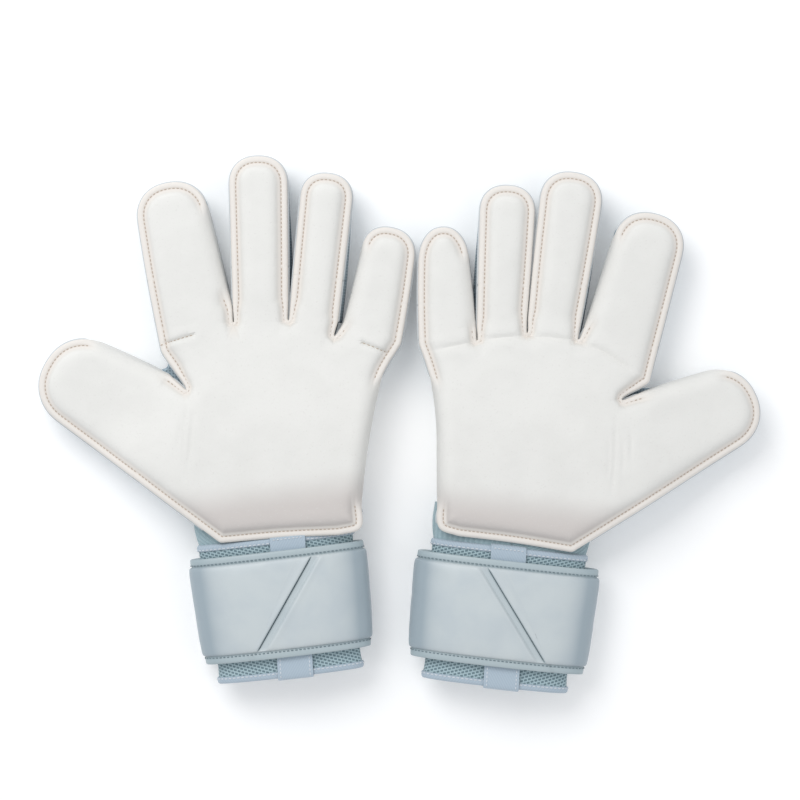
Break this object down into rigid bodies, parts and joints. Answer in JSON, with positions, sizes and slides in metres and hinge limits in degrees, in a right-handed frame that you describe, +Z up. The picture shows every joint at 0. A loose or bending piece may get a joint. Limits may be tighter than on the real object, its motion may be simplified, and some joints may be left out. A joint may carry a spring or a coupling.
{
  "type": "pair of goalkeeper gloves",
  "caption": "Pair of padded goalkeeper gloves lying palm up, with seamed latex foam palms, a mesh cuff and a wide wrist strap with a hook-and-loop tail.",
  "frame": {"origin": "on the surface that the pair lies on, under the middle of the pair", "axes": "+X from the left-hand glove to the right-hand glove, +Y from cuffs to fingertips, +Z up out of the palms"},
  "size_m": [0.3736, 0.2787, 0.0347],
  "materials": {
    "palm_foam": "matte foamed latex",
    "back_fabric": "matte padded knit",
    "gusset_mesh": "matte mesh",
    "cuff_mesh": "matte spacer mesh",
    "wrist_knit": "matte elastic knit",
    "binding_tape": "matte woven tape",
    "strap_fabric": "satin bonded fabric over foam",
    "hook_tape": "matte hook tape",
    "loop_tape": "matte loop tape"
  },
  "bodies": {
    "left_cuff": {"left_cuff_mesh": "cuff_mesh", "left_cuff_upper_binding": "binding_tape", "left_cuff_lower_binding": "binding_tape", "left_pull_tab": "binding_tape", "left_strap_wrap": "strap_fabric", "left_loop_patch": "loop_tape", "left_wrist_elastic": "wrist_knit"},
    "left_hand": {"left_palm_foam": "palm_foam", "left_back_panel": "back_fabric", "left_thumb_web": "gusset_mesh"},
    "left_strap_tail": {"left_strap_tail": "strap_fabric", "left_hook_patch": "hook_tape"},
    "left_thumb": {"left_thumb_foam": "palm_foam", "left_thumb_back": "back_fabric"},
    "left_index_base": {"left_index_base_foam": "palm_foam", "left_index_base_back": "back_fabric"},
    "left_index_tip": {"left_index_tip_foam": "palm_foam", "left_index_tip_back": "back_fabric"},
    "left_middle_base": {"left_middle_base_foam": "palm_foam", "left_middle_base_back": "back_fabric"},
    "left_middle_tip": {"left_middle_tip_foam": "palm_foam", "left_middle_tip_back": "back_fabric"},
    "left_ring_base": {"left_ring_base_foam": "palm_foam", "left_ring_base_back": "back_fabric"},
    "left_ring_tip": {"left_ring_tip_foam": "palm_foam", "left_ring_tip_back": "back_fabric"},
    "left_little_base": {"left_little_base_foam": "palm_foam", "left_little_base_back": "back_fabric"},
    "left_little_tip": {"left_little_tip_foam": "palm_foam", "left_little_tip_back": "back_fabric"},
    "right_cuff": {"right_cuff_mesh": "cuff_mesh", "right_cuff_upper_binding": "binding_tape", "right_cuff_lower_binding": "binding_tape", "right_pull_tab": "binding_tape", "right_strap_wrap": "strap_fabric", "right_loop_patch": "loop_tape", "right_wrist_elastic": "wrist_knit"},
    "right_hand": {"right_palm_foam": "palm_foam", "right_back_panel": "back_fabric", "right_thumb_web": "gusset_mesh"},
    "right_strap_tail": {"right_strap_tail": "strap_fabric", "right_hook_patch": "hook_tape"},
    "right_thumb": {"right_thumb_foam": "palm_foam", "right_thumb_back": "back_fabric"},
    "right_index_base": {"right_index_base_foam": "palm_foam", "right_index_base_back": "back_fabric"},
    "right_index_tip": {"right_index_tip_foam": "palm_foam", "right_index_tip_back": "back_fabric"},
    "right_middle_base": {"right_middle_base_foam": "palm_foam", "right_middle_base_back": "back_fabric"},
    "right_middle_tip": {"right_middle_tip_foam": "palm_foam", "right_middle_tip_back": "back_fabric"},
    "right_ring_base": {"right_ring_base_foam": "palm_foam", "right_ring_base_back": "back_fabric"},
    "right_ring_tip": {"right_ring_tip_foam": "palm_foam", "right_ring_tip_back": "back_fabric"},
    "right_little_base": {"right_little_base_foam": "palm_foam", "right_little_base_back": "back_fabric"},
    "right_little_tip": {"right_little_tip_foam": "palm_foam", "right_little_tip_back": "back_fabric"}
  },
  "joints": [
    {"name": "left_wrist_bend", "type": "hinge", "parent": "left_cuff", "child": "left_hand", "pos_m": [-0.06494, -0.05644, 0.026], "axis": [0.9934, 0.1149, 0], "range_deg": [-20, 25], "deforming": ["left_wrist_elastic"]},
    {"name": "left_strap_open", "type": "hinge", "parent": "left_cuff", "child": "left_strap_tail", "pos_m": [-0.09904, -0.09663, 0.0025], "axis": [-0.1149, 0.9934, 0], "range_deg": [0, 165]},
    {"name": "left_thumb_bend", "type": "hinge", "parent": "left_hand", "child": "left_thumb", "pos_m": [-0.1309, 0.0016, 0.0193], "axis": [0.515, 0.8572, 0], "range_deg": [0, 50]},
    {"name": "left_index_knuckle", "type": "hinge", "parent": "left_hand", "child": "left_index_base", "pos_m": [-0.1091, 0.0649, 0.0193], "axis": [0.9971, 0.0767, 0], "range_deg": [0, 75]},
    {"name": "left_index_curl", "type": "hinge", "parent": "left_index_base", "child": "left_index_tip", "pos_m": [-0.11444, 0.09239, 0.0193], "axis": [0.9816, 0.1908, 0], "range_deg": [0, 75]},
    {"name": "left_middle_knuckle", "type": "hinge", "parent": "left_hand", "child": "left_middle_base", "pos_m": [-0.0722, 0.0657, 0.0193], "axis": [0.9971, 0.0767, 0], "range_deg": [0, 75]},
    {"name": "left_middle_curl", "type": "hinge", "parent": "left_middle_base", "child": "left_middle_tip", "pos_m": [-0.07289, 0.09869, 0.0193], "axis": [0.9998, 0.0209, 0], "range_deg": [0, 75]},
    {"name": "left_ring_knuckle", "type": "hinge", "parent": "left_hand", "child": "left_ring_base", "pos_m": [-0.0438, 0.062, 0.0193], "axis": [0.9971, 0.0767, 0], "range_deg": [0, 75]},
    {"name": "left_ring_curl", "type": "hinge", "parent": "left_ring_base", "child": "left_ring_tip", "pos_m": [-0.04077, 0.09185, 0.0193], "axis": [0.9949, -0.1011, 0], "range_deg": [0, 75]},
    {"name": "left_little_knuckle", "type": "hinge", "parent": "left_hand", "child": "left_little_base", "pos_m": [-0.013, 0.0553, 0.0193], "axis": [0.9971, 0.0767, 0], "range_deg": [0, 75]},
    {"name": "left_little_curl", "type": "hinge", "parent": "left_little_base", "child": "left_little_tip", "pos_m": [-0.00918, 0.07493, 0.0193], "axis": [0.9816, -0.1908, 0], "range_deg": [0, 75]},
    {"name": "right_wrist_bend", "type": "hinge", "parent": "right_cuff", "child": "right_hand", "pos_m": [0.05771, -0.06152, 0.026], "axis": [0.9938, -0.1115, 0], "range_deg": [-20, 25], "deforming": ["right_wrist_elastic"]},
    {"name": "right_strap_open", "type": "hinge", "parent": "right_cuff", "child": "right_strap_tail", "pos_m": [0.09196, -0.10159, 0.0025], "axis": [-0.1115, -0.9938, 0], "range_deg": [0, 165]},
    {"name": "right_thumb_bend", "type": "hinge", "parent": "right_hand", "child": "right_thumb", "pos_m": [0.1345, -0.0073, 0.0193], "axis": [0.4226, -0.9063, 0], "range_deg": [0, 50]},
    {"name": "right_index_knuckle", "type": "hinge", "parent": "right_hand", "child": "right_index_base", "pos_m": [0.1181, 0.0494, 0.0193], "axis": [0.9971, -0.0767, 0], "range_deg": [0, 75]},
    {"name": "right_index_curl", "type": "hinge", "parent": "right_index_base", "child": "right_index_tip", "pos_m": [0.12511, 0.07651, 0.0193], "axis": [0.9681, -0.2504, 0], "range_deg": [0, 75]},
    {"name": "right_middle_knuckle", "type": "hinge", "parent": "right_hand", "child": "right_middle_base", "pos_m": [0.081, 0.0578, 0.0193], "axis": [0.9971, -0.0767, 0], "range_deg": [0, 75]},
    {"name": "right_middle_curl", "type": "hinge", "parent": "right_middle_base", "child": "right_middle_tip", "pos_m": [0.08554, 0.09049, 0.0193], "axis": [0.9905, -0.1374, 0], "range_deg": [0, 75]},
    {"name": "right_ring_knuckle", "type": "hinge", "parent": "right_hand", "child": "right_ring_base", "pos_m": [0.0537, 0.0575, 0.0193], "axis": [0.9971, -0.0767, 0], "range_deg": [0, 75]},
    {"name": "right_ring_curl", "type": "hinge", "parent": "right_ring_base", "child": "right_ring_tip", "pos_m": [0.05501, 0.08747, 0.0193], "axis": [0.999, -0.0436, 0], "range_deg": [0, 75]},
    {"name": "right_little_knuckle", "type": "hinge", "parent": "right_hand", "child": "right_little_base", "pos_m": [0.025, 0.0528, 0.0193], "axis": [0.9971, -0.0767, 0], "range_deg": [0, 75]},
    {"name": "right_little_curl", "type": "hinge", "parent": "right_little_base", "child": "right_little_tip", "pos_m": [0.0239, 0.07377, 0.0193], "axis": [0.9986, 0.0523, 0], "range_deg": [0, 75]},
    {"name": "right_glove_apart", "type": "slide", "parent": "left_cuff", "child": "right_cuff", "axis": [1, 0, 0], "range_m": [0, 0.3]}
  ]
}
